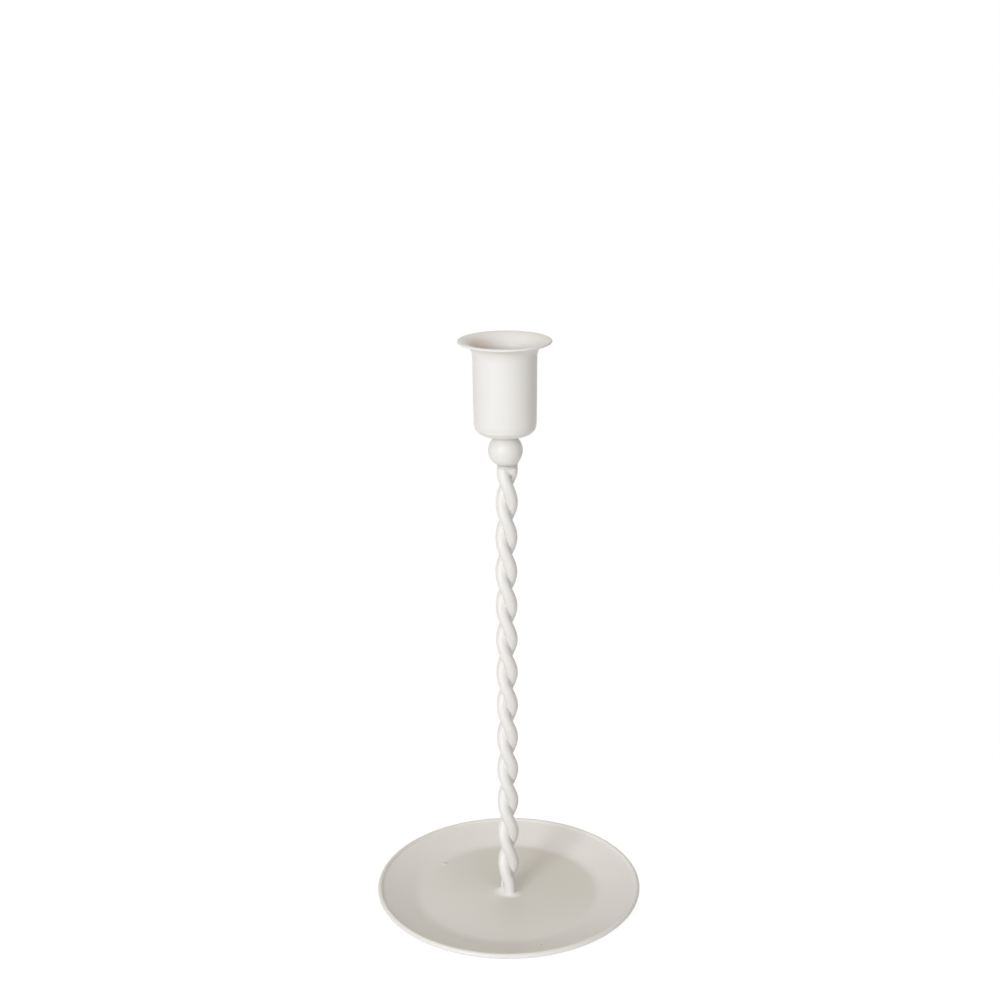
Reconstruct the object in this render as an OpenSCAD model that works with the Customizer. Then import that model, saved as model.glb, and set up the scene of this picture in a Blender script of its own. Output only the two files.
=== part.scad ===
// Candlestick of painted steel for one dinner candle.
// A pressed drip dish carries a stem of two round rods twisted left-handed. A turned collar
// closes the top of the stem, a drilled ball sits on the collar, and a spun cup with a flared
// rim sits on the ball. One screw through the cup's floor and the ball holds the top together.
// The stem stands on the Z axis, and the underside of the dish is at height zero.

/* [Drip dish] */
// Radius of the dish over its lip
dish_r = 57.7; // [50:0.1:70]
// Thickness of the sheet that the dish is pressed from
dish_sheet = 1.4; // [1:0.1:2]
// Radius of the flat floor of the dish
dish_floor_r = 36; // [28:0.5:38]
// Radius of the bend from the floor to the wall, at the middle of the sheet
dish_bend_r = 32.5; // [10:0.5:33]
// Slope of the wall, in degrees from level
wall_slope = 16.2; // [10:0.1:18]
// Radius of the round lip, which is thicker than the sheet
lip_r = 1.15; // [1.05:0.05:1.6]

/* [Twisted stem] */
// Diameter of each of the two rods
rod_d = 5; // [4.4:0.1:6]
// Depth to which each rod is pressed flat where the two touch
rod_flat = 0.45; // [0.1:0.05:0.7]
// Length of the stem from the floor of the dish to the collar
stem_len = 196; // [120:0.1:260]
// Height of half a turn of the twist, from one crossing to the next
half_pitch = 15.1; // [12:0.1:24]
// How far the rods have turned past side by side under the collar, in degrees
top_turn = -2.4; // [-30:0.1:90]
// Length of the straight ends above the floor of the dish
foot_straight = 4.7; // [2:0.1:10]
// Length over which the twist runs out above the straight ends
twist_runout = 3.1; // [1:0.1:8]

/* [Foot weld] */
// Radius of the weld bead on the floor of the dish
weld_r = 6.4; // [6.2:0.1:9]
// Height to which the bead's rounded top would rise at its middle
weld_h = 1.6; // [0.8:0.1:3]

/* [Collar] */
// Radius of the collar under the ball
collar_r = 4.1; // [3.5:0.1:5]
// Height of the collar that shows under the ball
collar_h = 1.2; // [0.8:0.1:3]
// Radius of the tapped spigot that stands up into the ball
spigot_r = 3; // [2.7:0.1:3.2]
// Length of the spigot
spigot_len = 4.5; // [3:0.1:6]

/* [Ball] */
// Radius of the ball
ball_r = 7.05; // [6.8:0.05:9]
// Radius of the flat on top of the ball that the cup stands on
ball_flat_r = 2.5; // [2.4:0.1:3.5]

/* [Candle cup] */
// Radius of the cup's straight wall, outside
cup_r = 13; // [12:0.1:16]
// Thickness of the sheet that the cup is spun from
cup_sheet = 1; // [0.8:0.1:1.5]
// Radius of the flared rim over its rounded edge
cup_rim_r = 18.95; // [17:0.05:24]
// Height of the cup from its underside to the top of its rim
cup_h = 38.9; // [30:0.1:60]
// Radius of the rounded corner between the cup's wall and floor, outside
cup_corner_r = 5.6; // [3:0.1:6.5]

/* [Screw] */
// Radius of the screw that holds the cup and the ball down
screw_r = 2; // [1.5:0.05:2.1]
// Radius of the screw's head
screw_head_r = 4; // [3.4:0.1:5]
// Height of the screw's head
screw_head_h = 2.4; // [1.8:0.1:3]
// Width of the cross recess in the head
recess_w = 0.9; // [0.5:0.1:1.2]
// Length of each arm of the recess, from end to end
recess_len = 4.2; // [3:0.1:5]
// Depth of the recess
recess_depth = 1.3; // [0.8:0.1:1.4]

/* [Hidden] */
$fn = 96;
// Sides of a full circle where only a short arc of it shows
arc_fn = 480;

// Clearances between mating pieces, and the overrun of cuts past a face
screw_play = 0.2;
thread_play = 0.06;
spigot_play = 0.08;
rod_gap = 0.05;
weld_gap = 0.03;
screw_end_gap = 1.5;
overrun = 1;

// Facets of a rod: sides round it, degrees of twist from ring to ring, and rings in the run-out
rod_sides = 16;
ring_turn = 18;
runout_rings = 3;
// Steps in the outline of the dish, along its bend and round its lip
bend_steps = 6;
lip_steps = 16;

// Heights where the pieces meet, from the dish upwards
stem_z = dish_sheet;
collar_z = stem_z + stem_len;
ball_z = collar_z + collar_h;
ball_centre_z = ball_z + sqrt(pow(ball_r, 2) - pow(collar_r, 2));
cup_z = ball_centre_z + sqrt(pow(ball_r, 2) - pow(ball_flat_r, 2));
screw_seat_z = cup_z + cup_sheet;

// Plain holes for the screw
screw_hole_r = screw_r + screw_play;

// Outline of the dish: a flat floor, a bend, a wall of even slope, and a round lip that ends it.
// The middle of the sheet runs into the middle of the lip.
sheet_mid = dish_sheet / 2;
bend_centre = [dish_floor_r, sheet_mid + dish_bend_r];
bend_end = bend_centre + dish_bend_r * [sin(wall_slope), -cos(wall_slope)];
lip_mid_r = dish_r - lip_r;
lip_centre = [lip_mid_r, bend_end[1] + (lip_mid_r - bend_end[0]) * tan(wall_slope)];
lip_reach = 180 - asin(sheet_mid / lip_r);
function bend(r) = [for (i = [0 : bend_steps]) let (a = wall_slope * i / bend_steps)
    bend_centre + r * [sin(a), -cos(a)]];
dish_lip = [for (i = [0 : lip_steps]) let (a = wall_slope + lip_reach * (2 * i / lip_steps - 1))
    lip_centre + lip_r * [cos(a), sin(a)]];

function backwards(points) = [for (i = [len(points) - 1 : -1 : 0]) points[i]];

module drip_dish() {
    color("whitesmoke")
        rotate_extrude()
            polygon(concat(
                [[0, 0]], bend(dish_bend_r + sheet_mid), dish_lip,
                backwards(bend(dish_bend_r - sheet_mid)), [[0, dish_sheet]]));
}

// The two rods touch along the axis, each on a flat, so that their middles run closer to the axis
// than a rod's radius. A level cut through a leaning rod is longer than it is wide.
rod_r = rod_d / 2;
helix_r = rod_r - rod_flat;
twist_rate = 180 / half_pitch;
twisted_len = stem_len - foot_straight - twist_runout;
twist_rings = ceil(twisted_len * twist_rate / ring_turn);

function run_share(h) = min(1, max(0, (h - foot_straight) / twist_runout));
function lean_stretch(h) = sqrt(1 + pow(helix_r * twist_rate * run_share(h) * PI / 180, 2));
function turn_below(h) =
    let (up = max(0, h - foot_straight))
    twist_rate * (up < twist_runout ? pow(up, 2) / (2 * twist_runout) : up - twist_runout / 2);
function turn_at(h) = 180 + top_turn + turn_below(stem_len) - turn_below(h);
function rod_outline(h, r, flat_x) =
    [for (i = [0 : rod_sides - 1]) let (a = 360 * i / rod_sides)
        [max(flat_x, helix_r + r * cos(a)), r * lean_stretch(h) * sin(a)]];
function turned(p, a) = [p[0] * cos(a) - p[1] * sin(a), p[0] * sin(a) + p[1] * cos(a)];

ring_heights = concat(
    [0],
    [for (i = [0 : runout_rings - 1]) foot_straight + twist_runout * i / runout_rings],
    [for (i = [0 : twist_rings]) foot_straight + twist_runout + twisted_len * i / twist_rings]);
last_ring = len(ring_heights) - 1;
rod_points = [for (h = ring_heights) for (p = rod_outline(h, rod_r, rod_gap / 2))
    concat(turned(p, turn_at(h)), h)];

// Each square between two rings is split so that the two rods' facing flats stay parallel
function side_faces(k, i) =
    let (
        low = k * rod_sides,
        high = low + rod_sides,
        j = (i + 1) % rod_sides)
    i < rod_sides / 2
        ? [[low + i, high + i, high + j], [low + i, high + j, low + j]]
        : [[low + i, high + i, low + j], [high + i, high + j, low + j]];
rod_faces = concat(
    [[for (i = [0 : rod_sides - 1]) i]],
    [for (k = [0 : last_ring - 1]) for (i = [0 : rod_sides - 1]) for (f = side_faces(k, i)) f],
    [[for (i = [rod_sides - 1 : -1 : 0]) last_ring * rod_sides + i]]);

module twisted_rod() {
    translate([0, 0, stem_z])
        polyhedron(rod_points, rod_faces);
}

module stem_rod_a() {
    color("white")
        twisted_rod();
}

module stem_rod_b() {
    color("gainsboro")
        rotate(180)
            twisted_rod();
}

// The bead is a low dome, open where the two rods stand in it
weld_curve_r = (pow(weld_r, 2) + pow(weld_h, 2)) / (2 * weld_h);

module foot_weld() {
    color("whitesmoke")
        translate([0, 0, stem_z])
            difference() {
                rotate_extrude()
                    intersection() {
                        translate([0, weld_h - weld_curve_r])
                            circle(weld_curve_r, $fn = arc_fn);
                        square([weld_r + overrun, weld_h + overrun]);
                    }
                translate([0, 0, -overrun])
                    linear_extrude(weld_h + 2 * overrun)
                        for (half = [0, 180])
                            rotate(turn_at(0) + half)
                                polygon(rod_outline(0, rod_r + weld_gap, -weld_gap));
            }
}

module neck_collar() {
    color("whitesmoke")
        difference() {
            union() {
                translate([0, 0, collar_z])
                    cylinder(h = collar_h, r = collar_r);
                translate([0, 0, collar_z])
                    cylinder(h = collar_h + spigot_len, r = spigot_r);
            }
            translate([0, 0, collar_z - overrun])
                cylinder(h = collar_h + spigot_len + 2 * overrun, r = screw_r + thread_play);
        }
}

module ball() {
    color("whitesmoke")
        difference() {
            intersection() {
                translate([0, 0, ball_centre_z])
                    sphere(ball_r);
                translate([0, 0, ball_z])
                    cylinder(h = cup_z - ball_z, r = ball_r + overrun);
            }
            translate([0, 0, ball_z - overrun])
                cylinder(h = cup_z - ball_z + 2 * overrun, r = screw_hole_r);
            translate([0, 0, ball_z - overrun])
                cylinder(h = overrun + spigot_len + spigot_play, r = spigot_r + spigot_play);
        }
}

// Outline of the cup: floor, rounded corner, straight wall, and a bend outward to a rounded edge
edge_r = cup_sheet / 2;
flare_r = cup_rim_r - edge_r - cup_r;
flare_centre = [cup_rim_r - edge_r, cup_h - cup_sheet - flare_r];
cup_bore_r = cup_r - cup_sheet;
cup_corner = [cup_r - cup_corner_r, cup_corner_r];

module quarter_ring(centre, outer, inner, side) {
    translate(centre)
        intersection() {
            difference() {
                circle(outer);
                circle(inner);
            }
            scale(outer + overrun)
                polygon([[0, 0], [side[0], 0], side, [0, side[1]]]);
        }
}

module candle_cup() {
    color("whitesmoke")
        translate([0, 0, cup_z])
            rotate_extrude() {
                translate([screw_hole_r, 0])
                    square([cup_corner[0] - screw_hole_r, cup_sheet]);
                quarter_ring(cup_corner, cup_corner_r, cup_corner_r - cup_sheet, [1, -1]);
                translate([cup_bore_r, cup_corner_r])
                    square([cup_sheet, flare_centre[1] - cup_corner_r]);
                quarter_ring(flare_centre, flare_r + cup_sheet, flare_r, [-1, 1]);
                translate([flare_centre[0], cup_h - edge_r])
                    circle(edge_r);
            }
}

// The screw's head is a dome that drops to half its height at the edge
screw_dome_drop = screw_head_h / 2;
screw_dome_r = (pow(screw_head_r, 2) + pow(screw_dome_drop, 2)) / (2 * screw_dome_drop);
shank_len = screw_seat_z - collar_z - screw_end_gap;

module cup_screw() {
    color("silver")
        translate([0, 0, screw_seat_z])
            difference() {
                rotate_extrude() {
                    translate([0, -shank_len])
                        square([screw_r, shank_len]);
                    intersection() {
                        translate([0, screw_head_h - screw_dome_r])
                            circle(screw_dome_r, $fn = arc_fn);
                        square([screw_head_r, screw_head_h]);
                    }
                }
                for (turn = [0, 90])
                    rotate(turn)
                        translate([-recess_len / 2, -recess_w / 2, screw_head_h - recess_depth])
                            cube([recess_len, recess_w, recess_depth + overrun]);
            }
}

drip_dish();
foot_weld();
stem_rod_a();
stem_rod_b();
neck_collar();
ball();
candle_cup();
cup_screw();
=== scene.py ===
"""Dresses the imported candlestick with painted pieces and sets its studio.

Sizes are in metres, in the frame of the CAD part: the stem stands on the Z axis, and the table is at
height zero. Each piece is built in mesh code over its CAD node and stands for it.
"""

import math

import bpy
from bpy.props import FloatProperty, FloatVectorProperty, PointerProperty
from mathutils import Matrix, Vector, noise


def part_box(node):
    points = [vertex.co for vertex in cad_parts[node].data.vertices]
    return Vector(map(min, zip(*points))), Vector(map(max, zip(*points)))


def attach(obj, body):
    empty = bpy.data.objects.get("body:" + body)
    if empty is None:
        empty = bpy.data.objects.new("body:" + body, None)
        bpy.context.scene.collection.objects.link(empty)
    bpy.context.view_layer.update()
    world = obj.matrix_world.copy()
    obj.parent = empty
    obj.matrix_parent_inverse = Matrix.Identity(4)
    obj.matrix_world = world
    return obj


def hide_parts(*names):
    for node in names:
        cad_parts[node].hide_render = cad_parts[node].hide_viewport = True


bl_info = {
    "name": "Twisted candlestick",
    "version": (1, 0, 0),
    "blender": (4, 5, 0),
    "location": "3D View > Sidebar > Candlestick",
    "description": "Painted pieces, finishes and studio for a candlestick with a twisted stem",
    "category": "Add Mesh",
}

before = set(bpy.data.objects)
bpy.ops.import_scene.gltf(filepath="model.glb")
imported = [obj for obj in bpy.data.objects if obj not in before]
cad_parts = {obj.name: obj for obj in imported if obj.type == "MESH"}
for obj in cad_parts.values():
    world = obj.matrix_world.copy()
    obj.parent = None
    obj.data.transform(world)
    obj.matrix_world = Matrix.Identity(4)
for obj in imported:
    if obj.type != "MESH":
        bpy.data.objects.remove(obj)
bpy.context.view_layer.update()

dish_low, dish_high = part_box("drip_dish")
rod_low, rod_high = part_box("stem_rod_a")
collar_low, collar_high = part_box("neck_collar")
ball_low, ball_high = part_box("ball")
cup_low, cup_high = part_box("candle_cup")
screw_low, screw_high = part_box("cup_screw")

MM = 0.001
ROOT = "root"

# A distance too small to see, for telling places apart
HAIR = 0.01 * MM

# Numbers at the points for their paint: how much dirt and painted shade darken a groove, and one on the cup's
# inner face
GROOVE_SHADE = "groove_shade_and_dirt"
INSIDE = "inside"

# Radii in metres of the rings that make up the floor
FLOOR_RINGS = (60.0, 8.0, 1.0, 0.3)

# Spacing of the nodes in the editor
COLUMN, ROW = 220, 320


def length(name, description, default):
    """A size in metres that a user may change."""
    looks = {"precision": 5, "subtype": "DISTANCE", "unit": "LENGTH"}
    return FloatProperty(name=name, description=description, default=default, min=0, **looks)


def point(name, description, default):
    """A place in metres that a user may move."""
    return FloatVectorProperty(
        name=name, description=description, default=default, precision=5, subtype="TRANSLATION", unit="LENGTH"
    )


def angle(name, description, degrees):
    """An angle that a user may change."""
    return FloatProperty(
        name=name, description=description, default=math.radians(degrees), subtype="ANGLE", unit="ROTATION"
    )


def colour(name, description, default):
    """A colour that a user may change."""
    return FloatVectorProperty(
        name=name, description=description, default=default, min=0, max=1, size=3, subtype="COLOR"
    )


def share(name, description, default):
    """A plain number from zero to one."""
    return FloatProperty(name=name, description=description, default=default, min=0, max=1)


def amount(name, description, default):
    """A plain number from zero up."""
    return FloatProperty(name=name, description=description, default=default, min=0)


class DishSizes(bpy.types.PropertyGroup):
    radius: length("Radius", "Radius of the dish over its lip", min(dish_high.x, -dish_low.x))
    sheet: length("Sheet", "Thickness of the pressed sheet", rod_low.z)
    floor_radius: length("Floor radius", "Radius of the flat floor", 38.1 * MM)
    bend_radius: length("Bend radius", "Radius of the bend from floor to wall, mid-sheet", 17.5 * MM)
    wall_slope: angle("Wall slope", "Slope of the wall from level", 16.2)
    lip_radius: length("Lip radius", "Radius of the round lip", 1.15 * MM)
    crease_fill: length("Crease fill", "How far the paint reaches into the crease beside the lip", 0.5 * MM)
    bare_spot: point("Bare spot", "Place of a bare spot in the paint", (13.3 * MM, -45.3 * MM, 3.3 * MM))
    bare_radius: length("Bare radius", "Radius of the bare spot", 0.45 * MM)
    back_nib: point("Back nib", "Place of a lump in the paint, behind", (-29.1 * MM, 23.8 * MM, 1.4 * MM))
    back_nib_radius: length("Back nib radius", "Radius of the lump at the back", 1.6 * MM)
    front_nib: point("Front nib", "Place of a lump in the paint, in front", (31.4 * MM, -40.8 * MM, 4.6 * MM))
    front_nib_radius: length("Front nib radius", "Radius of the lump at the front", 0.8 * MM)
    # These sizes place a painted shade that darkens the back of the dish's floor, where less light falls, and
    # leave the place round the stem without it
    shade_middle: point("Film middle", "Middle of the film of old wax", (16 * MM, 18 * MM, rod_low.z))
    shade_reach: length("Film reach", "How far the film reaches from its middle", 62 * MM)
    shade_past: length("Film past the floor", "How far past the flat floor the film fades out", 0.5 * MM)
    shade_edge: length("Film edge", "How wide that fading edge is to each side", 2 * MM)
    unshaded_radius: length("Clean radius", "Radius of the clean place round the stem", 3.8 * MM)
    unshaded_edge: length("Clean edge", "How wide the edge of the clean place is", 4 * MM)


class StemSizes(bpy.types.PropertyGroup):
    foot: length("Foot", "Height at which the rods stand on the dish", rod_low.z)
    top: length("Top", "Height at which the rods end under the collar", rod_high.z)
    rod_radius: length("Rod radius", "Radius of each round rod", 2.5 * MM)
    end_rounding: length("End rounding", "Radius of the rods' rounded upper edges", 0.35 * MM)
    helix_radius: length("Helix radius", "Distance of each rod's middle from the axis", 2.05 * MM)
    half_pitch: length("Half pitch", "Height of half a turn of the twist", 15.1 * MM)
    straight: length("Straight end", "Length of the straight ends above the dish", 4.7 * MM)
    runout: length("Run-out", "Length over which the twist runs out", 3.1 * MM)
    top_turn: angle("Top turn", "How far the rods have turned past side by side under the collar", -2.4)
    foot_turn: angle("Foot turn", "How much further the rods turn down at the dish", 21)
    foot_ease: amount("Foot ease", "How soon that turn dies away above the dish; one is evenly", 1.3)
    top_pinch: length("Top pinch", "How much closer together the rods lie under the collar", 0.3 * MM)
    pinch_reach: length("Pinch reach", "How far below the collar the rods start to close up", 9 * MM)
    sway: length("Sway", "How far the neck stands to the right, as hand work leaves it", 0.75 * MM)
    sway_share: share("Sway share", "Share of the stem over which the neck leans", 0.28)
    foot_sway: length("Foot sway", "How far the rods' feet stand to the left", 0.25 * MM)
    foot_share: share("Foot share", "Share of the stem over which its foot leans", 0.075)
    paint_fill: length("Paint fill", "Radius of the paint that fills the groove", 0.4 * MM)
    end_fill: length("End fill", "Radius of the paint between the rods at both of their ends", 4.0 * MM)
    end_reach: length("End reach", "How far from the ends that thick paint reaches", 5.2 * MM)
    rod_wave: length("Rod wave", "Length of the slow changes in a rod's thickness", 9 * MM)
    rod_uneven: share("Rod unevenness", "Share by which a rod is thinner in places", 0.012)
    fill_wave: length("Fill wave", "Length of the slow changes in the paint that fills the groove", 6 * MM)
    fill_uneven: share("Fill unevenness", "Share by which that paint is thicker or thinner in places", 0.3)
    weld_width: length("Weld width", "How far the weld reaches to the left and right", 7.8 * MM)
    weld_depth: length("Weld depth", "How far the weld reaches to the front and back", 6.2 * MM)
    weld_height: length("Weld height", "Height of the weld against the rods", 1.4 * MM)
    weld_front: share("Weld front", "Share of its height that the weld has in front and behind", 0.45)
    weld_lumps: share("Weld lumps", "Share by which the weld is higher or lower in places", 0.35)
    weld_ragged: share("Weld raggedness", "Share by which the weld is narrower in places", 0.05)
    weld_hollow: amount("Weld hollow", "How hollow the weld's slope is; one is straight", 2.3)
    weld_overlap: length("Weld overlap", "How far the weld reaches into the rods", 0.1 * MM)
    weld_shift: length("Weld shift", "How far right of the rods' feet the weld's middle lies", 0.7 * MM)


class TopSizes(bpy.types.PropertyGroup):
    collar_foot: length("Collar foot", "Height of the collar's underside", collar_low.z)
    collar_radius: length("Collar radius", "Radius of the collar's band", collar_high.x)
    collar_edge: length("Collar edge", "How far the collar's edges are rounded", 0.28 * MM)
    spigot_radius: length("Spigot radius", "Radius of the spigot inside the ball", 3.0 * MM)
    spigot_top: length("Spigot top", "Height of the spigot's end", collar_high.z)
    thread_hole: length("Thread hole", "Radius of the collar's tapped hole", 2.06 * MM)
    ball_foot: length("Ball foot", "Height of the ball's lower flat", ball_low.z)
    ball_top: length("Ball top", "Height of the ball's upper flat", ball_high.z)
    ball_radius: length("Ball radius", "Radius of the ball", ball_high.x)
    ball_play: length("Ball play", "Play between the spigot and the ball's bore", 0.08 * MM)
    ball_blend: length("Ball blend", "Height over which the ball follows the leaning collar", 2.4 * MM)
    # The ball's darkening at its foot is dirt and painted shade together
    ball_shade: length("Ball shade", "Height of the dirt at the ball's foot", 1.5 * MM)
    screw_hole: length("Screw hole", "Radius of the plain holes for the screw", 2.2 * MM)
    cup_foot: length("Cup foot", "Height of the cup's underside", cup_low.z)
    cup_top: length("Cup top", "Height of the cup's rim", cup_high.z)
    cup_radius: length("Cup radius", "Radius of the cup's wall", 13.0 * MM)
    cup_sheet: length("Cup sheet", "Thickness of the spun sheet", 1.0 * MM)
    rim_radius: length("Rim radius", "Radius of the flared rim", cup_high.x)
    corner: length("Corner", "Radius of the cup's rounded lower corner", 5.6 * MM)
    draft: length("Draft", "How much narrower the wall is at its foot, outside", 0.27 * MM)
    stain_middle: point(
        "Stain middle", "Middle of the stain, counted from the wall's top", (-11.6 * MM, 4.6 * MM, 2.2 * MM)
    )
    stain_reach: length("Stain reach", "How far the wax stain reaches to its sides", 13 * MM)
    stain_flatness: amount("Stain flatness", "How many times wider than high the stain is", 3)
    screw_foot: length("Screw foot", "Height of the screw's end", screw_low.z)
    screw_radius: length("Screw radius", "Radius of the screw over its thread", 2.0 * MM)
    head_radius: length("Head radius", "Radius of the screw's head", screw_high.x)
    head_top: length("Head top", "Height of the top of the screw's head", screw_high.z)
    head_edge: length("Head edge", "Width of the bevels at the head's edge", 0.15 * MM)
    pitch: length("Thread pitch", "Height of one turn of the thread", 0.7 * MM)
    thread_depth: length("Thread depth", "Depth of the thread", 0.385 * MM)
    recess_width: length("Recess width", "Width of the cross recess", 0.9 * MM)
    recess_length: length("Recess length", "Length of the cross recess", 4.2 * MM)
    recess_depth: length("Recess depth", "Depth of the cross recess", 1.3 * MM)
    recess_taper: share("Recess taper", "Share of its length that the recess has at its bottom", 0.55)


class Finish(bpy.types.PropertyGroup):
    paint: colour("Paint", "Off-white paint", (0.83, 0.824, 0.81))
    paint_shade: colour("Paint shade", "The paint where it lies thin or has yellowed", (0.824, 0.817, 0.8))
    # The groove colour is dust and painted shade together: it darkens the stem's creases, the collar under
    # the ball and the ball's foot, where shade falls
    groove: colour("Groove", "Paint and dust in the grooves of the stem", (0.29, 0.28, 0.24))
    stain: colour("Stain", "Wax stain inside the cup", (0.78, 0.69, 0.60))
    # Colour of the painted shade on the back of the dish's floor
    painted_floor_shade: colour("Veil", "Thin film of old wax and dust on the dish", (0.755, 0.74, 0.70))
    speck: colour("Speck", "A bare spot in the paint", (0.12, 0.11, 0.09))
    plating: colour("Plating", "Zinc plating of the screw", (0.62, 0.62, 0.6))
    gloss_low: share("Smoothest", "Roughness where the paint is smoothest", 0.36)
    gloss_high: share("Roughest", "Roughness where the paint is roughest", 0.44)
    mottle_size: length("Mottle size", "Size of the paint's faint patches", 11 * MM)
    dirt_and_shade_size: length("Dirt size", "Size of the patches of dirt in the grooves", 3 * MM)
    dirt_and_shade_least: share("Least dirt", "How much the dirt colours the grooves at the least", 0.28)
    dirt_and_shade_most: share("Most dirt", "How much it colours them at the most", 0.68)
    wash_size: length("Wash size", "Size of the patches in the stain", 4 * MM)
    wash_least: share("Faintest wash", "How much the stain colours its faintest patches", 0.7)
    gloss_size: length("Gloss size", "Size of the smoother and rougher patches", 5 * MM)
    wave_size: length("Wave size", "Size of the paint's slow waves", 14 * MM)
    wave_height: length("Wave height", "Height of the slow waves", 0.06 * MM)
    peel_size: length("Peel size", "Size of the orange peel", 0.9 * MM)
    peel_height: length("Peel height", "Height of the orange peel", 0.003 * MM)
    dust_spacing: length("Dust spacing", "Size of the cells of which a few hold a grain of dust", 5 * MM)
    dust_height: length("Dust height", "Height of a grain of dust under the paint", 0.03 * MM)
    dust_share: share("Dust share", "Share of the cells that hold a grain", 0.13)
    mark_width: length("Mark width", "Width of the turning marks on the screw's head", 0.12 * MM)
    mark_height: length("Mark height", "Height of the turning marks", 0.006 * MM)
    haze_size: length("Haze size", "Size of the patches in the plating", 1.5 * MM)
    nib_height: length("Nib height", "Height of the lumps in the paint", 0.25 * MM)


class Studio(bpy.types.PropertyGroup):
    lens: FloatProperty(name="Lens", description="Focal length in millimetres", default=58.093, unit="CAMERA")
    distance: length("Distance", "How far the camera stands in front of the stem", 629.8 * MM)
    height: length("Camera height", "Height of the camera above the table", 382.4 * MM)
    aside: length("Camera aside", "How far the camera stands to the left of the stem", 2.38 * MM)
    tilt: angle("Tilt", "How far the camera looks down", 17.552)
    roll: angle("Roll", "How far the camera leans", -0.5)
    aim: length("Aim", "Height of the place on the stem that the lamps point at", 0.14)
    lamp_distance: length("Lamp distance", "How far the lamps stand from that place", 3.0)
    key: amount("Key light", "Soft light at the front left", 37.5)
    side: amount("Side light", "Faint light at the front right", 2.0)
    back: amount("Back light", "Wide soft light high behind", 14.1)
    from_front: amount("From the front", "Strength of the light from the front and a little above", 0.89)
    from_above: amount("From above", "Strength of the light from above", 0.36)
    from_left: amount("From the left", "Strength of the light from the left", 0.3)
    cool: colour("Cool", "Colour of the light from the front and the left", (0.9, 0.925, 1.0))
    warm: colour("Warm", "Colour of the light from above", (1.0, 0.78, 0.38))
    floor: colour("Floor", "Pale floor", (0.92, 0.92, 0.92))
    floor_dim: share("Floor dimming", "Share of its colour that the floor shows near the stem", 0.35)
    floor_glow: share("Floor glow", "Light that the floor adds near the stem, so that it looks white", 0.86)
    floor_near: length("Floor near", "How far from the stem the floor keeps its shadows in full", 0.12)
    floor_far: length("Floor far", "How far from the stem the floor has turned plain white", 0.4)


def limited(value):
    """The value kept between zero and one."""
    return min(1.0, max(0.0, value))


def eased(value):
    """The limited value with a soft start and a soft end."""
    value = limited(value)
    return value * value * (3 - 2 * value)


# Outlines: lists of (radius, height) points that are turned round the Z axis


def arc(centre, radius, start, end, steps):
    """Points on an arc, from one angle to another in degrees, both ends included."""
    angles = [math.radians(start + (end - start) * i / steps) for i in range(steps + 1)]
    return [(centre[0] + radius * math.cos(a), centre[1] + radius * math.sin(a)) for a in angles]


def curved(start, corner, end, steps):
    """Points on a curve that leaves the start and meets the end in line with the corner between them."""
    points = []
    for k in range(steps + 1):
        t = k / steps
        p = start * (1 - t) ** 2 + corner * (2 * t * (1 - t)) + end * t**2
        points.append((p.x, p.y))
    return points


def rounded(corners, radius, steps=6):
    """A closed outline whose corners are rounded. A corner on the axis stays sharp."""
    points = []
    count = len(corners)
    for i, corner in enumerate(corners):
        here = Vector(corner)
        before = Vector(corners[i - 1]) - here
        after = Vector(corners[(i + 1) % count]) - here
        reach = min(radius, before.length * 0.45, after.length * 0.45)
        if corner[0] < 1e-9 or reach < 1e-6:
            points.append(corner)
            continue
        points += curved(here + before.normalized() * reach, here, here + after.normalized() * reach, steps)
    return points


def held(outline, hold, widest):
    """The outline with points added beside the ends of its long straight runs, so that shading stays flat."""
    points = []
    count = len(outline)
    for i, p in enumerate(outline):
        a, b = Vector(p), Vector(outline[(i + 1) % count])
        points.append(p)
        run = (b - a).length
        if run < 4 * hold or (a.x < 1e-9 and b.x < 1e-9):
            continue
        steps = max(1, math.ceil((run - 2 * hold) / widest))
        for k in range(steps + 1):
            q = a.lerp(b, (hold + (run - 2 * hold) * k / steps) / run)
            points.append((q.x, q.y))
    return points


def turned(outline, turns):
    """Points and faces of a closed outline turned round the Z axis."""
    points, rings = [], []
    for r, z in outline:
        if r < 1e-9:
            rings.append([len(points)] * turns)
            points.append((0, 0, z))
            continue
        rings.append(list(range(len(points), len(points) + turns)))
        for k in range(turns):
            a = 2 * math.pi * k / turns
            points.append((r * math.cos(a), r * math.sin(a), z))
    faces = []
    for i, ring in enumerate(rings):
        above = rings[(i + 1) % len(rings)]
        if ring[0] == ring[1] and above[0] == above[1]:
            continue
        for k in range(turns):
            n = (k + 1) % turns
            # A point on the axis is named once
            faces.append(list(dict.fromkeys((ring[k], ring[n], above[n], above[k]))))
    return points, faces


def tube(rings, sides, hoop=False):
    """Faces of a tube from rings of points. Its ends are capped, or it is a hoop that closes on itself."""
    faces = []
    for k in range(rings if hoop else rings - 1):
        low, high = k * sides, (k + 1) % rings * sides
        faces += [[low + i, low + (i + 1) % sides, high + (i + 1) % sides, high + i] for i in range(sides)]
    if not hoop:
        faces += [list(reversed(range(sides))), [(rings - 1) * sides + i for i in range(sides)]]
    return faces


def add_mesh(name, points, faces):
    """A plain object of the scene, made of those points and faces."""
    mesh = bpy.data.meshes.new(name)
    mesh.from_pydata(points, [], faces)
    made = bpy.data.objects.new(name, mesh)
    bpy.context.scene.collection.objects.link(made)
    return made


def add_piece(name, points, faces, material, sharp=40):
    """A shown piece of the candlestick that rides on its one body."""
    piece = add_mesh(name, points, faces)
    mesh = piece.data
    mesh.validate()
    mesh.polygons.foreach_set("use_smooth", [True] * len(mesh.polygons))
    mesh.set_sharp_from_angle(angle=math.radians(sharp))
    mesh.materials.append(material)
    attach(piece, ROOT)
    return piece


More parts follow.
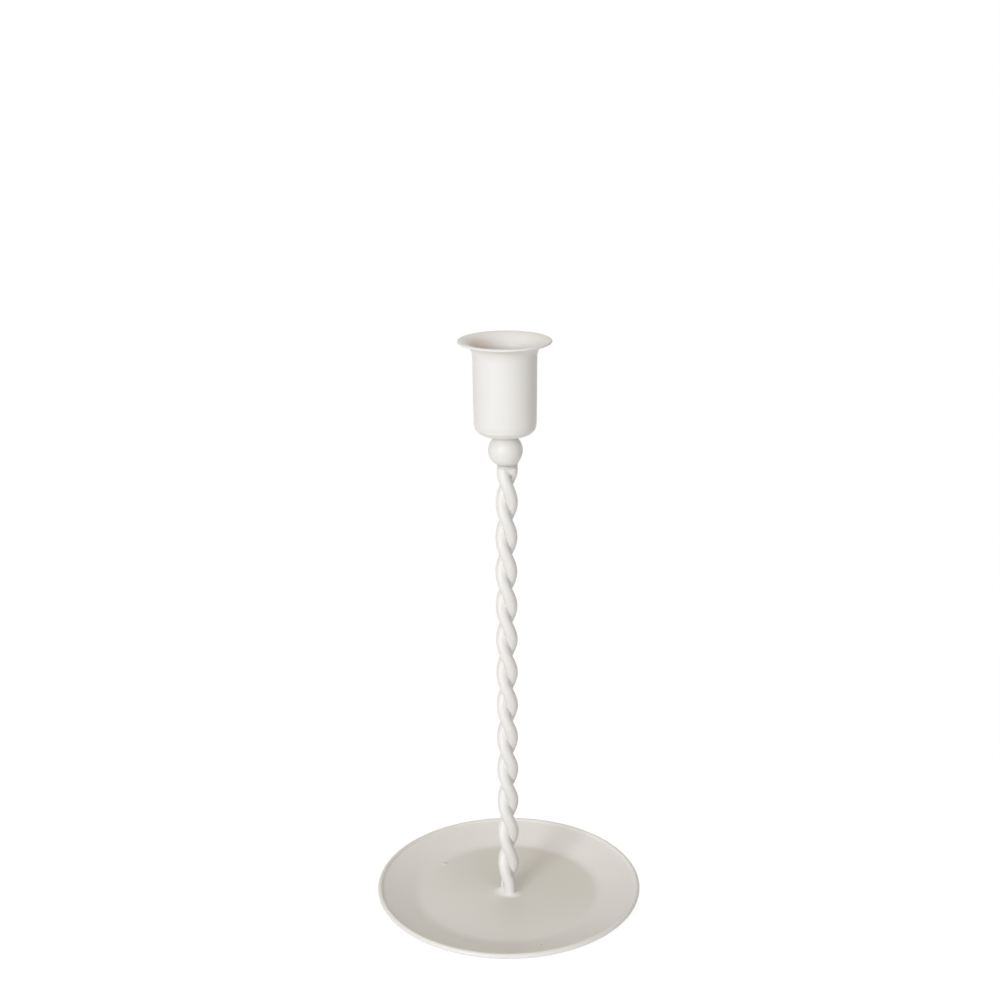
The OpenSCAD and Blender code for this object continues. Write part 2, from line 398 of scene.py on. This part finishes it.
def mark(piece, name, values):
    """Gives each point of a piece a number that its paint reads."""
    piece.data.attributes.new(name, "FLOAT", "POINT").data.foreach_set("value", values)


# Finishes


def feed(socket, value):
    """Gives an input a plain value, another node's output, or the first output of a node."""
    if isinstance(value, bpy.types.Node):
        value = value.outputs[0]
    if isinstance(value, bpy.types.NodeSocket):
        socket.id_data.links.new(value, socket)
    elif socket.type == "RGBA":
        socket.default_value = (*value, 1)
    else:
        socket.default_value = value


def node(tree, kind, inputs=None, **settings):
    """A shader node of a kind, with its settings and with what feeds its inputs."""
    made = tree.nodes.new("ShaderNode" + kind)
    for key, value in settings.items():
        setattr(made, key, value)
    for key, value in (inputs or {}).items():
        feed(made.inputs[key], value)
    return made


def arrange(tree):
    """Sets the nodes in columns, each one to the left of all that it feeds."""
    columns = {made.name: 0 for made in tree.nodes}
    for _ in columns:
        for link in tree.links:
            source, target = link.from_node.name, link.to_node.name
            columns[source] = max(columns[source], columns[target] + 1)
    filled = [0] * len(columns)
    for made in tree.nodes:
        column = columns[made.name]
        made.location = (-COLUMN * column, -ROW * filled[column])
        filled[column] += 1


def cloudy(coords, size, detail):
    """Noise whose patches are about the given size across."""
    inputs = {"Vector": coords, "Scale": 1 / size, "Detail": detail}
    return node(coords.id_data, "TexNoise", inputs).outputs["Fac"]


def spread(value, low, high, to_low=0.0, to_high=1.0, ease="LINEAR"):
    """A value mapped from one range to another and kept inside it."""
    inputs = {"Value": value, "From Min": low, "From Max": high, "To Min": to_low, "To Max": to_high}
    return node(value.id_data, "MapRange", inputs, interpolation_type=ease).outputs["Result"]


def patchy(coords, size, detail, low, high, to_low=0.0, to_high=1.0):
    """Cloudy patches, with the noise between two limits stretched to two others."""
    return spread(cloudy(coords, size, detail), low, high, to_low, to_high)


def mixed(factor, a, b):
    """Two colours mixed by a factor. Each colour is a socket or a plain one."""
    return node(factor.id_data, "Mix", {0: factor, 6: a, 7: b}, data_type="RGBA").outputs[2]


def maths(operation, total, *values):
    """A socket's number joined in turn with others, each one a socket or a plain number."""
    for value in values:
        total = node(total.id_data, "Math", {0: total, 1: value}, operation=operation).outputs[0]
    return total


def vector(coords, operation, other=(0, 0, 0)):
    """What a node makes of coordinates and, in some operations, of another place or scale."""
    return node(coords.id_data, "VectorMath", {0: coords, 1: other}, operation=operation).outputs


def spot(coords, centre, radius, core=0.35):
    """One near a point, out to the core's share of the radius, and falling to zero at the radius."""
    away = vector(coords, "DISTANCE", centre)["Value"]
    return spread(away, radius, radius * core, ease="SMOOTHSTEP")


def bumped(height, deep, strength=1.0, before=None):
    """A bump of that height in metres, laid over another one."""
    made = node(height.id_data, "Bump", {"Height": height, "Distance": deep, "Strength": strength})
    if before is not None:
        feed(made.inputs["Normal"], before)
    return made.outputs["Normal"]


def blank(name):
    """A new material, its node tree and its shader."""
    material = bpy.data.materials.new(name)
    material.use_nodes = True
    return material, material.node_tree, material.node_tree.nodes["Principled BSDF"]


def painted(name, specks=(), nibs=(), groove=False, stain=None, floor_shade=None, smoother=0.0):
    """Semi-gloss paint with its orange peel, slow waves, faint mottling and dust.

    Specks and nibs are places, each with a radius. A stain is a place, a radius and a flatness. The floor
    shade is painted shade on the back of the dish's floor, given as the dish's sizes, which say where it
    lies.
    """
    finish = bpy.context.scene.finish
    material, tree, shader = blank(name)
    shader.inputs["IOR"].default_value = 1.46
    coords = node(tree, "TexCoord").outputs["Object"]

    mottle = patchy(coords, finish.mottle_size, 4.0, 0.35, 0.75)
    base = mixed(mottle, finish.paint, finish.paint_shade)
    # Dirt and painted shade darken the grooves and creases, most where they are deep
    if groove:
        depth = node(tree, "Attribute", attribute_name=GROOVE_SHADE).outputs["Fac"]
        dirt_and_shade = patchy(coords, finish.dirt_and_shade_size, 3.0, 0.25, 0.7, finish.dirt_and_shade_least, finish.dirt_and_shade_most)
        base = mixed(maths("MULTIPLY", depth, dirt_and_shade), base, finish.groove)
    if stain is not None:
        inside = node(tree, "Attribute", attribute_name=INSIDE).outputs["Fac"]
        (x, y, z), radius, flatness = stain
        patch = spot(vector(coords, "MULTIPLY", (1, 1, flatness))[0], (x, y, flatness * z), radius)
        wash = patchy(coords, finish.wash_size, 4.0, 0.3, 0.7, finish.wash_least)
        base = mixed(maths("MULTIPLY", patch, inside, wash), base, finish.stain)
    # Painted shade: the back of the dish's floor darker, sharp at the floor's edge and fading out near the
    # stem
    if floor_shade is not None:
        away = vector(coords, "LENGTH")["Value"]
        edge = floor_shade.floor_radius + floor_shade.shade_past
        within = spread(away, edge + floor_shade.shade_edge, edge - floor_shade.shade_edge, ease="SMOOTHSTEP")
        outside = spread(away, floor_shade.unshaded_radius, floor_shade.unshaded_radius + floor_shade.unshaded_edge, ease="SMOOTHSTEP")
        painted_floor_shade = maths("MULTIPLY", spot(coords, floor_shade.shade_middle, floor_shade.shade_reach), within, outside)
        base = mixed(painted_floor_shade, base, finish.painted_floor_shade)
    for centre, radius in specks:
        base = mixed(spot(coords, centre, radius), base, finish.speck)
    feed(shader.inputs["Base Color"], base)

    rough = finish.gloss_low - smoother, finish.gloss_high - smoother
    feed(shader.inputs["Roughness"], patchy(coords, finish.gloss_size, 3.0, 0.3, 0.7, *rough))

    # Where a grain of dust ends and how wide its top is, in cells. The cells' red picks which ones hold one
    grain_edge, grain_top = 0.035, 0.01
    cells = node(tree, "TexVoronoi", {"Vector": coords, "Scale": 1 / finish.dust_spacing}).outputs
    grain = spread(cells["Distance"], grain_edge, grain_top, ease="SMOOTHSTEP")
    red = node(tree, "SeparateColor", {"Color": cells["Color"]}).outputs["Red"]
    picked = spread(red, 0.99 - finish.dust_share, 1.01 - finish.dust_share)
    normal = bumped(cloudy(coords, finish.wave_size, 1.0), finish.wave_height)
    normal = bumped(cloudy(coords, finish.peel_size, 1.5), finish.peel_height, before=normal)
    normal = bumped(maths("MULTIPLY", grain, picked), finish.dust_height, before=normal)
    for centre, radius in nibs:
        normal = bumped(spot(coords, centre, radius), finish.nib_height, before=normal)
    feed(shader.inputs["Normal"], normal)
    arrange(tree)
    return material


def plated():
    """Satin zinc plating with fine turning marks round the head."""
    finish = bpy.context.scene.finish
    material, tree, shader = blank("zinc_plating")
    shader.inputs["Metallic"].default_value = 1.0
    coords = node(tree, "TexCoord").outputs["Object"]
    away = vector(vector(coords, "MULTIPLY", (1, 1, 0))[0], "LENGTH")["Value"]
    marks = node(tree, "TexNoise", {"W": away, "Scale": 1 / finish.mark_width}, noise_dimensions="1D")
    haze = cloudy(coords, finish.haze_size, 3.0)
    dull = [0.8 * c for c in finish.plating]
    feed(shader.inputs["Base Color"], mixed(haze, finish.plating, dull))
    feed(shader.inputs["Roughness"], spread(haze, 0.3, 0.7, 0.26, 0.4))
    feed(shader.inputs["Normal"], bumped(marks.outputs["Fac"], finish.mark_height, strength=0.8))
    arrange(tree)
    return material


class CANDLESTICK_OT_drip_dish(bpy.types.Operator):
    """Builds the pressed drip dish with its rounded lip"""

    bl_idname = "candlestick.drip_dish"
    bl_label = "Drip dish"

    def execute(self, context):
        s = context.scene.dish_sizes
        half, slope = s.sheet / 2, math.degrees(s.wall_slope)
        bend = Vector((s.floor_radius, half + s.bend_radius))
        bend_end = bend + s.bend_radius * Vector((math.sin(s.wall_slope), -math.cos(s.wall_slope)))
        lip_r = s.radius - s.lip_radius
        lip = (lip_r, bend_end.y + (lip_r - bend_end.x) * math.tan(s.wall_slope))
        inside = arc(bend, s.bend_radius - half, -90, slope - 90, 24)
        outside = arc(bend, s.bend_radius + half, -90, slope - 90, 24)
        reach = 180 - math.degrees(math.asin(half / s.lip_radius))
        fill = math.degrees(s.crease_fill / s.lip_radius)
        edge = arc(lip, s.lip_radius, slope - reach, slope + reach - fill, 28)
        crease = Vector(arc(lip, s.lip_radius, slope + reach, 0, 1)[0])
        along = Vector((math.cos(s.wall_slope), math.sin(s.wall_slope)))
        soft = curved(Vector(edge[-1]), crease, crease - s.crease_fill * along, 7)[1:]
        outline = [(0, 0), *outside, *edge, *soft, *reversed(inside), (0, s.sheet)]
        points, faces = turned(held(outline, hold=0.3 * MM, widest=6 * MM), turns=288)
        material = painted(
            "dish_paint",
            specks=[(s.bare_spot, s.bare_radius)],
            nibs=[(s.back_nib, s.back_nib_radius), (s.front_nib, s.front_nib_radius)],
            floor_shade=s,
            smoother=0.05,
        )
        piece = add_piece("painted_dish", points, faces, material)
        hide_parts("drip_dish")
        return {"FINISHED"}


def rod_turn(s, z):
    """How far the first rod has turned at a height, in radians."""
    rate = math.pi / s.half_pitch

    def below(h):
        up = max(0.0, h - s.straight)
        return rate * (up * up / (2 * s.runout) if up < s.runout else up - s.runout / 2)

    last = s.foot_turn * limited(1 - (z - s.foot) / (s.straight + s.runout)) ** s.foot_ease
    return math.pi + s.top_turn + last + below(s.top - s.foot) - below(z - s.foot)


def rod_lean(s, z):
    """How much longer than wide a level cut through the leaning rod is."""
    running = limited((z - s.foot - s.straight) / s.runout)
    return math.hypot(1, s.helix_radius * math.pi / s.half_pitch * running)


def stem_sway(s, z):
    """How far the stem's middle stands to the right at a height."""
    up = (z - s.foot) / (s.top - s.foot)
    neck = limited(1 - (1 - up) / s.sway_share) ** 2
    return s.sway * neck - s.foot_sway * eased(1 - up / s.foot_share)


def rod_outline(helix, radius, lean, fill):
    """A level cut through a rod with the paint in its groove, and how much dirt and painted shade darken each
    of its points.

    The rod lies to the right of the axis. That darkening, dirt and painted shade, reaches out to half the
    paint's radius from the middle.
    """
    reach = radius + fill
    middle = math.sqrt(reach**2 - helix**2)
    tangent = math.degrees(math.atan2(middle, -helix))
    rim = arc((helix, 0), radius, -tangent, tangent, 26)
    meniscus = arc((0, middle), fill, tangent - 180, -90, 8)[1:]
    flat = [(0, (middle - fill) * k) for k in (0.5, 0.0, -0.5)]
    mirrored = [(x, -y) for x, y in reversed(meniscus)]
    points = rim + meniscus + flat + mirrored
    return [(x, y * lean) for x, y in points], [max(0.0, 1 - x / (0.5 * fill)) for x, y in points]


def rod_ring(s, z, half):
    """Points round a rod at a height, and how much dirt and painted shade darken each. The second rod is half
    a turn on.
    """
    edge = s.end_rounding
    near_top = max(0.0, z - (s.top - edge)) / edge
    radius = s.rod_radius - edge * (1 - math.sqrt(max(0.0, 1 - near_top**2)))
    # The first number of the noise's place is a seed. The paint's is the same for both rods
    radius *= 1 - s.rod_uneven * (0.5 + 0.5 * noise.noise(Vector((half, 0, z / s.rod_wave))))
    helix = s.helix_radius - s.top_pinch * limited(1 - (s.top - z) / s.pinch_reach) ** 2
    # One where the thick paint of the ends is complete
    near_end = limited((max(z - s.top, s.foot - z) + s.end_reach) / (0.5 * s.end_reach))
    thin = s.paint_fill * (1 + s.fill_uneven * noise.noise(Vector((5, 0, z / s.fill_wave))))
    fill = thin + (s.end_fill - thin) * eased(near_end)
    outline, depths = rod_outline(helix, radius, rod_lean(s, z), fill)
    a = rod_turn(s, z) + half
    c, d = math.cos(a), math.sin(a)
    sway = stem_sway(s, z)
    points = [(x * c - y * d + sway, x * d + y * c, z) for x, y in outline]
    # Thick paint has less dirt and painted shade, and at the top a painted shade darkens the groove where the
    # thick paint begins
    upper = 2 * z > s.foot + s.top
    cleared = near_end ** (2 if upper else 0.4)
    pit_shade = 4 * near_end * (1 - near_end) if upper else 0
    return points, [depth * (1 - cleared * (1 - thin / fill)) * (1 + pit_shade) for depth in depths]


class CANDLESTICK_OT_stem_rods(bpy.types.Operator):
    """Builds the two round rods that are twisted together, with the paint in their grooves"""

    bl_idname = "candlestick.stem_rods"
    bl_label = "Stem rods"

    def execute(self, context):
        s = context.scene.stem_sizes
        # No ring of the twist comes closer than this to the rounded edge
        closest = 0.1 * MM
        edge = s.end_rounding
        twist_foot = s.foot + s.straight + s.runout
        rings = math.ceil((s.top - twist_foot) / s.half_pitch * 30)
        heights = [s.foot + s.straight * k / 6 for k in range(6)]
        heights += [s.foot + s.straight + s.runout * k / 5 for k in range(5)]
        heights += [twist_foot + (s.top - twist_foot) * k / rings for k in range(rings)]
        heights = [z for z in heights if z < s.top - edge - closest]
        heights += [s.top - edge * (1 - math.sin(math.pi / 2 * k / 4)) for k in range(5)]
        material = painted("stem_paint", groove=True)
        rods = (("painted_rod_a", "stem_rod_a", 0.0), ("painted_rod_b", "stem_rod_b", math.pi))
        for name, node_name, half in rods:
            points, depths = [], []
            for z in heights:
                ring, dirt_and_shade = rod_ring(s, z, half)
                points += ring
                depths += dirt_and_shade
            faces = tube(len(heights), len(points) // len(heights))
            piece = add_piece(name, points, faces, material, sharp=50)
            mark(piece, GROOVE_SHADE, depths)
            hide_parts(node_name)
        return {"FINISHED"}


class CANDLESTICK_OT_foot_weld(bpy.types.Operator):
    """Builds the lumpy weld bead that joins the rods to the dish"""

    bl_idname = "candlestick.foot_weld"
    bl_label = "Foot weld"

    def execute(self, context):
        s = context.scene.stem_sizes
        turns, steps = 144, 16
        edge_seed, lump_seed = 3.7, 9.1
        turn = rod_turn(s, s.foot)
        sway = stem_sway(s, s.foot)
        points = []
        for k in range(turns):
            a = 2 * math.pi * k / turns
            x, y = math.cos(a), math.sin(a)
            # The ray from the axis leaves the nearer rod at its far side
            off = abs(math.cos(a - turn))
            inner = s.helix_radius * off + math.sqrt(s.rod_radius**2 - s.helix_radius**2 * (1 - off**2))
            inner -= s.weld_overlap
            outer = 1 / math.hypot(x / s.weld_width, y / s.weld_depth)
            outer *= 1 - s.weld_ragged * (0.5 + 0.5 * noise.noise(Vector((x, y, edge_seed)) * 1.6))
            lumps = s.weld_lumps * noise.noise(Vector((x, y, lump_seed)) * 1.3)
            high = s.weld_height * (s.weld_front + (1 - s.weld_front) * x * x + lumps)
            for i in range(steps + 1):
                t = i / steps
                r = inner + (outer - inner) * t
                shift = sway + s.weld_shift * t
                points.append((r * x + shift, r * y, s.foot + high * (1 - t) ** s.weld_hollow))
            points.append((outer * x + sway + s.weld_shift, outer * y, s.foot))
            points.append((inner * x + sway, inner * y, s.foot))
        faces = tube(turns, steps + 3, hoop=True)
        # The weld takes the dish's painted floor shade too, so that its edge matches the floor's
        material = painted("weld_paint", floor_shade=context.scene.dish_sizes)
        piece = add_piece("painted_weld", points, faces, material, sharp=60)
        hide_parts("foot_weld")
        return {"FINISHED"}


class CANDLESTICK_OT_neck_collar(bpy.types.Operator):
    """Builds the turned collar with its spigot inside the ball"""

    bl_idname = "candlestick.neck_collar"
    bl_label = "Neck collar"

    def execute(self, context):
        s = context.scene.top_sizes
        outline = rounded(
            [
                (s.thread_hole, s.collar_foot),
                (s.collar_radius, s.collar_foot),
                (s.collar_radius, s.ball_foot),
                (s.spigot_radius, s.ball_foot),
                (s.spigot_radius, s.spigot_top),
                (s.thread_hole, s.spigot_top),
            ],
            s.collar_edge,
        )
        points, faces = turned(outline, turns=128)
        sway = context.scene.stem_sizes.sway
        points = [(x + (sway if z < s.ball_foot + HAIR else 0), y, z) for x, y, z in points]
        material = painted("collar_paint", groove=True)
        piece = add_piece("painted_collar", points, faces, material)
        # Dirt and painted shade: a little at the collar's foot and most of it under the ball, where the ball
        # shades the collar
        least, added = 0.2, 0.9
        band = s.ball_foot - s.collar_foot
        mark(piece, GROOVE_SHADE, [least + added * limited((z - s.collar_foot) / band) for x, y, z in points])
        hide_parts("neck_collar")
        return {"FINISHED"}


class CANDLESTICK_OT_ball(bpy.types.Operator):
    """Builds the drilled ball with its two small flats"""

    bl_idname = "candlestick.ball"
    bl_label = "Ball"

    def execute(self, context):
        s = context.scene.top_sizes
        centre = s.ball_foot + math.sqrt(s.ball_radius**2 - s.collar_radius**2)
        start = -math.degrees(math.asin((centre - s.ball_foot) / s.ball_radius))
        end = math.degrees(math.asin((s.ball_top - centre) / s.ball_radius))
        seat = s.spigot_radius + s.ball_play
        seat_top = s.spigot_top + s.ball_play
        outline = [
            (seat, s.ball_foot),
            *arc((0, centre), s.ball_radius, start, end, 48),
            (s.screw_hole, s.ball_top),
            (s.screw_hole, seat_top),
            (seat, seat_top),
        ]
        points, faces = turned(outline, turns=144)
        sway = context.scene.stem_sizes.sway

        def leaning(x, y, z):
            share_left = limited(1 - (z - s.ball_foot) / s.ball_blend) ** 2
            return x + (sway * share_left if math.hypot(x, y) > seat + HAIR else 0), y, z

        points = [leaning(*p) for p in points]
        material = painted("ball_paint", groove=True)
        piece = add_piece("painted_ball", points, faces, material)
        # Dirt and painted shade at the ball's foot, in the crease above the collar
        most = 0.9
        mark(piece, GROOVE_SHADE, [most * limited(1 - (z - s.ball_foot) / s.ball_shade) for x, y, z in points])
        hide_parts("ball")
        return {"FINISHED"}


class CANDLESTICK_OT_candle_cup(bpy.types.Operator):
    """Builds the spun cup with its rounded corner and flared rim"""

    bl_idname = "candlestick.candle_cup"
    bl_label = "Candle cup"

    def execute(self, context):
        s = context.scene.top_sizes
        foot, sheet = s.cup_foot, s.cup_sheet
        edge = sheet / 2
        flare = s.rim_radius - edge - s.cup_radius
        bend = (s.rim_radius - edge, s.cup_top - sheet - flare)
        corner = (s.cup_radius - s.corner, foot + s.corner)
        outline = [
            (s.screw_hole, foot),
            *arc(corner, s.corner, -90, 0, 20),
            *arc(bend, flare, 180, 90, 24),
            *arc((bend[0], s.cup_top - edge), edge, -90, 90, 12)[1:-1],
            *arc(bend, flare + sheet, 90, 180, 24),
            *arc(corner, s.corner - sheet, 0, -90, 20),
            (s.screw_hole, foot + sheet),
        ]
        outline = held(outline, hold=0.2 * MM, widest=4 * MM)
        wall_foot, wall_top = corner[1], bend[1]

        # A surface between the sheet's two faces parts the inner one from the outer one, draft and all
        depth = 0.6 * sheet
        parting = s.cup_radius - depth

        def drafted(r, z):
            if r < parting and z > foot + sheet:
                return r
            return r - s.draft * limited((wall_top - z) / (wall_top - wall_foot)) * limited(r / s.cup_radius)

        outline = [(drafted(r, z), z) for r, z in outline]
        turns = 216
        points, faces = turned(outline, turns)
        x, y, z = s.stain_middle
        stain = (x, y, wall_top + z), s.stain_reach, s.stain_flatness
        material = painted("cup_paint", stain=stain)
        piece = add_piece("painted_cup", points, faces, material)
        flags = []
        for r, z in outline:
            within = z > foot + edge and r < parting
            flared = z > wall_top and math.dist((r, z), bend) > flare + depth
            flags += [float(within or flared)] * turns
        mark(piece, INSIDE, flags)
        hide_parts("candle_cup")
        return {"FINISHED"}


class CANDLESTICK_OT_cup_screw(bpy.types.Operator):
    """Builds the plated screw with its thread and cross recess"""

    bl_idname = "candlestick.cup_screw"
    bl_label = "Cup screw"

    def execute(self, context):
        s = context.scene.top_sizes
        seat = s.cup_foot + s.cup_sheet
        drop = (s.head_top - seat) / 2
        dome = (s.head_radius**2 + drop**2) / (2 * drop)
        reach = math.degrees(math.asin(s.head_radius / dome))
        (rim, rim_z), *crown = arc((0, s.head_top - dome), dome, 90 - reach, 90, 16)
        bevel = [(s.head_radius - s.head_edge, seat), (s.head_radius, seat + s.head_edge)]
        outline = [(0, seat), *bevel, (rim - s.head_edge / 3, rim_z), *crown]
        points, faces = turned(outline, turns=96)
        material = plated()
        piece = add_piece("screw_head", points, faces, material)
        corners, walls = [], []
        levels = (s.head_top - s.recess_depth, s.recess_taper), (s.head_top + 1 * MM, 1.0)
        for crosswise in (False, True):
            start = len(corners)
            for z, taper in levels:
                x, y = s.recess_length / 2 * taper, s.recess_width / 2
                if crosswise:
                    x, y = y, x
                corners += [(-x, -y, z), (x, -y, z), (x, y, z), (-x, y, z)]
            walls += [[start + v for v in face] for face in tube(2, 4)]
        cutter = add_mesh("recess", corners, walls)
        cut = piece.modifiers.new("recess", "BOOLEAN")
        cut.operation, cut.solver, cut.object, cut.use_self = "DIFFERENCE", "EXACT", cutter, True
        apply_modifiers(piece)
        bpy.data.objects.remove(cutter)

        rings = math.ceil((seat - s.screw_foot) / s.pitch * 10)
        sides = 40
        # How steep the thread's flanks are, how flat its crest is, and how high a plain turn is
        flank, crest, plain = 2.3, 1.25, 0.6
        core = s.screw_radius - s.thread_depth
        points = []
        for k in range(rings + 1):
            z = s.screw_foot + (seat - s.screw_foot) * k / rings
            # The last turn below the head is plain, and the thread fades in from the screw's end
            threaded = z < seat - s.pitch
            chamfer = min(1, (z - s.screw_foot) / (0.6 * s.pitch))
            for i in range(sides):
                wind = (z / s.pitch - i / sides) % 1
                ridge = max(0.0, 1 - abs(wind - 0.5) * flank) if threaded else plain
                r = core + (s.screw_radius - core) * min(1, ridge * crest) * chamfer
                a = 2 * math.pi * i / sides
                points.append((r * math.cos(a), r * math.sin(a), z))
        faces = tube(rings + 1, sides)
        shank = add_piece("screw_shank", points, faces, material, sharp=30)
        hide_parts("cup_screw")
        return {"FINISHED"}


def apply_modifiers(piece):
    """Makes the piece's mesh what its modifiers give."""
    graph = bpy.context.evaluated_depsgraph_get()
    made = bpy.data.meshes.new_from_object(piece.evaluated_get(graph))
    piece.modifiers.clear()
    piece.data = made
    made.set_sharp_from_angle(angle=math.radians(35))


def soft_light(name, strength, size, azimuth, elevation, away, aim):
    """A square soft light that points at a place. Azimuth zero is in front, and it grows to the right."""
    lamp = bpy.data.lights.new(name, "AREA")
    lamp.energy = strength
    lamp.size = size
    made = bpy.data.objects.new(name, lamp)
    a, e = math.radians(azimuth), math.radians(elevation)
    back = Vector((math.sin(a) * math.cos(e), -math.cos(a) * math.cos(e), math.sin(e)))
    made.location = Vector(aim) + away * back
    made.rotation_euler = (-back).to_track_quat("-Z", "Y").to_euler()
    bpy.context.scene.collection.objects.link(made)


def lit_side(coords, side, strength, tint):
    """Light from one side of the surround, that fades to nothing a quarter turn away."""
    front = maths("MAXIMUM", vector(coords, "DOT_PRODUCT", side)["Value"], 0.0)
    level = maths("MULTIPLY", front, front, strength)
    return node(coords.id_data, "Background", {"Color": tint, "Strength": level})


def seen_directly(tree):
    """One where a ray comes from the camera, or from gloss or glass."""
    path = node(tree, "LightPath").outputs
    kinds = "Is Camera Ray", "Is Glossy Ray", "Is Transmission Ray"
    return maths("MAXIMUM", *(path[kind] for kind in kinds))


def floor_material(s):
    """Pale floor that shows white and keeps a soft shadow near the object."""
    material, tree, shader = blank("floor_card")
    tree.nodes.remove(shader)
    coords = node(tree, "TexCoord").outputs["Object"]
    far = spread(vector(coords, "LENGTH")["Value"], s.floor_near, s.floor_far, ease="SMOOTHSTEP")
    card = node(tree, "BsdfDiffuse", {"Color": s.floor})
    dim_card = node(tree, "BsdfDiffuse", {"Color": [s.floor_dim * c for c in s.floor]})
    glow = node(tree, "Emission", {"Strength": s.floor_glow})
    near = node(tree, "AddShader", {0: dim_card, 1: glow})
    shown = node(tree, "MixShader", {0: far, 1: near, 2: node(tree, "Emission")})
    mix = node(tree, "MixShader", {0: seen_directly(tree), 1: card, 2: shown})
    feed(tree.nodes["Material Output"].inputs["Surface"], mix)
    arrange(tree)
    return material


class CANDLESTICK_OT_studio(bpy.types.Operator):
    """Sets the pale floor, the soft lights and the camera"""

    bl_idname = "candlestick.studio"
    bl_label = "Studio"

    def execute(self, context):
        scene = context.scene
        s = scene.studio

        turns = 96
        points, faces = turned([*((r, 0) for r in FLOOR_RINGS), (0, 0)], turns)
        # The last faces would close the outline from the middle back to the edge
        floor = add_mesh("studio_floor", points, faces[:-turns])
        floor.data.materials.append(floor_material(s))

        world = bpy.data.worlds.new("studio_surround")
        scene.world = world
        world.use_nodes = True
        tree = world.node_tree
        tree.nodes.remove(tree.nodes["Background"])
        coords = node(tree, "TexCoord").outputs["Generated"]
        front = lit_side(coords, (0, -0.87, 0.5), s.from_front, s.cool)
        above = lit_side(coords, (0, 0, 1), s.from_above, s.warm)
        left = lit_side(coords, (-1, 0, 0), s.from_left, s.cool)
        total = node(tree, "AddShader", {0: front, 1: above})
        total = node(tree, "AddShader", {0: total, 1: left})
        shown = node(tree, "Background", {"Color": (1, 1, 1)})
        mix = node(tree, "MixShader", {0: seen_directly(tree), 1: total, 2: shown})
        feed(tree.nodes["World Output"].inputs["Surface"], mix)
        arrange(tree)

        # Each lamp's size, and where it stands in degrees to the right and up
        lamps = (
            ("key_light", s.key, 1.0, -31, 16.5),
            ("side_light", s.side, 0.7, 28, 16),
            ("back_light", s.back, 2.5, 180, 60),
        )
        for lamp in lamps:
            soft_light(*lamp, s.lamp_distance, (0, 0, s.aim))

        camera = bpy.data.cameras.new("camera")
        camera.lens = s.lens
        camera.sensor_width = 36
        camera.clip_start, camera.clip_end = 0.01, 200
        view = bpy.data.objects.new("camera", camera)
        right, up = Vector((1, 0, 0)), Vector((0, math.sin(s.tilt), math.cos(s.tilt)))
        ahead = Vector((0, math.cos(s.tilt), -math.sin(s.tilt)))
        c, d = math.cos(s.roll), math.sin(s.roll)
        turn = Matrix((right * c + up * d, up * c - right * d, -ahead)).transposed()
        view.matrix_world = Matrix.Translation((-s.aside, -s.distance, s.height)) @ turn.to_4x4()
        scene.collection.objects.link(view)
        scene.camera = view
        scene.view_settings.view_transform = "Standard"
        return {"FINISHED"}


class CANDLESTICK_PT_panel(bpy.types.Panel):
    bl_idname = "CANDLESTICK_PT_panel"
    bl_label = "Candlestick"
    bl_space_type = "VIEW_3D"
    bl_region_type = "UI"
    bl_category = "Candlestick"

    def draw(self, context):
        column = self.layout.column()
        for operator in OPERATORS:
            column.operator(operator.bl_idname)
        for group in GROUPS:
            values = getattr(context.scene, group)
            for key in values.__annotations__:
                column.prop(values, key)


GROUPS = {
    "dish_sizes": DishSizes,
    "stem_sizes": StemSizes,
    "top_sizes": TopSizes,
    "finish": Finish,
    "studio": Studio,
}
OPERATORS = (
    CANDLESTICK_OT_drip_dish,
    CANDLESTICK_OT_foot_weld,
    CANDLESTICK_OT_stem_rods,
    CANDLESTICK_OT_neck_collar,
    CANDLESTICK_OT_ball,
    CANDLESTICK_OT_candle_cup,
    CANDLESTICK_OT_cup_screw,
    CANDLESTICK_OT_studio,
)


def register():
    for name, group in GROUPS.items():
        bpy.utils.register_class(group)
        setattr(bpy.types.Scene, name, PointerProperty(type=group))
    for operator in OPERATORS:
        bpy.utils.register_class(operator)
    bpy.utils.register_class(CANDLESTICK_PT_panel)


def unregister():
    bpy.utils.unregister_class(CANDLESTICK_PT_panel)
    for operator in reversed(OPERATORS):
        bpy.utils.unregister_class(operator)
    for name, group in reversed(GROUPS.items()):
        delattr(bpy.types.Scene, name)
        bpy.utils.unregister_class(group)


def main():
    register()
    bpy.ops.candlestick.drip_dish()
    bpy.ops.candlestick.foot_weld()
    bpy.ops.candlestick.stem_rods()
    bpy.ops.candlestick.neck_collar()
    bpy.ops.candlestick.ball()
    bpy.ops.candlestick.candle_cup()
    bpy.ops.candlestick.cup_screw()
    bpy.ops.candlestick.studio()


if __name__ == "__main__":
    main()
